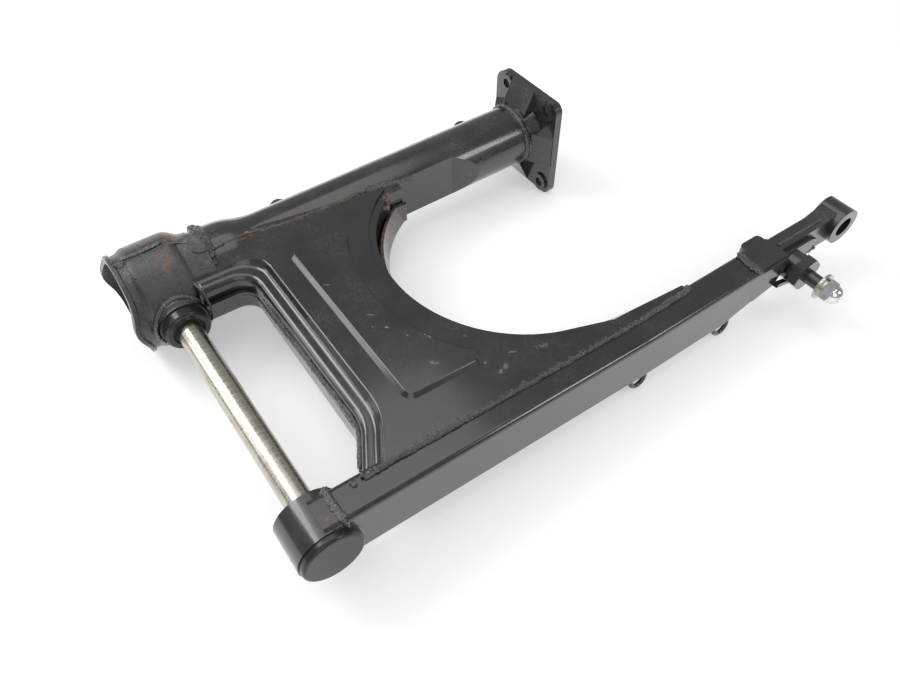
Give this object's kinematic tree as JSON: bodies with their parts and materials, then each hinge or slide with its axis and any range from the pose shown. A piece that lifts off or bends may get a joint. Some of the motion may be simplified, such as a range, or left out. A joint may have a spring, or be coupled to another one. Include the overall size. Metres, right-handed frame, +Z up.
{
  "type": "motorcycle swingarm",
  "caption": "Welded swingarm with a drive shaft tube, a box-section side beam, a pressed cross member, a pivot collar in needle bearings and a flange for the rear drive.",
  "frame": {"origin": "on the swingarm's pivot axis, in the wheel's middle plane between the two bosses", "axes": "+X from the pivot to the rear axle, +Y to the side of the drive shaft tube along the pivot axis, +Z up"},
  "size_m": [0.54, 0.3497, 0.096],
  "materials": {
    "black_paint": "gloss black paint with light wear",
    "zinc": "zinc plated, stained",
    "bearing_steel": "ground bearing steel",
    "chrome": "polished",
    "seal_rubber": "matt",
    "cap_plastic": "gloss"
  },
  "bodies": {
    "frame": {"right_boss": "black_paint", "left_boss": "black_paint", "right_bearing_cup": "bearing_steel", "left_bearing_cup": "bearing_steel", "right_seal": "seal_rubber", "left_seal": "seal_rubber", "left_dust_ring": "black_paint", "right_end_cap": "cap_plastic", "shaft_tube": "black_paint", "bell_housing": "black_paint", "rear_flange": "black_paint", "side_beam": "black_paint", "gusset_upper": "black_paint", "gusset_lower": "black_paint", "axle_bracket": "black_paint", "bracket_web": "black_paint", "stud_base": "black_paint", "boss_brace": "black_paint", "shock_stud": "black_paint", "wide_washer": "zinc", "spring_washer": "zinc", "acorn_nut": "chrome", "beam_hoop_front": "black_paint", "beam_hoop_rear": "black_paint", "tube_hoop_front": "black_paint", "tube_hoop_rear": "black_paint"},
    "collar": {"pivot_collar": "zinc"},
    "right_needle_set": {"right_needles": "bearing_steel"},
    "left_needle_set": {"left_needles": "bearing_steel"}
  },
  "joints": [
    {"name": "collar_turn", "type": "hinge", "parent": "frame", "child": "collar", "pos_m": [0, 0, 0], "axis": [0, 1, 0], "continuous": true},
    {"name": "right_needles_turn", "type": "hinge", "parent": "frame", "child": "right_needle_set", "pos_m": [0, -0.1146, 0], "axis": [0, 1, 0], "continuous": true},
    {"name": "left_needles_turn", "type": "hinge", "parent": "frame", "child": "left_needle_set", "pos_m": [0, 0.0961, 0], "axis": [0, 1, 0], "continuous": true}
  ],
  "couplings": [
    {"joint": "right_needles_turn", "follows": "collar_turn", "ratio": 0.41739},
    {"joint": "left_needles_turn", "follows": "collar_turn", "ratio": 0.41739}
  ]
}
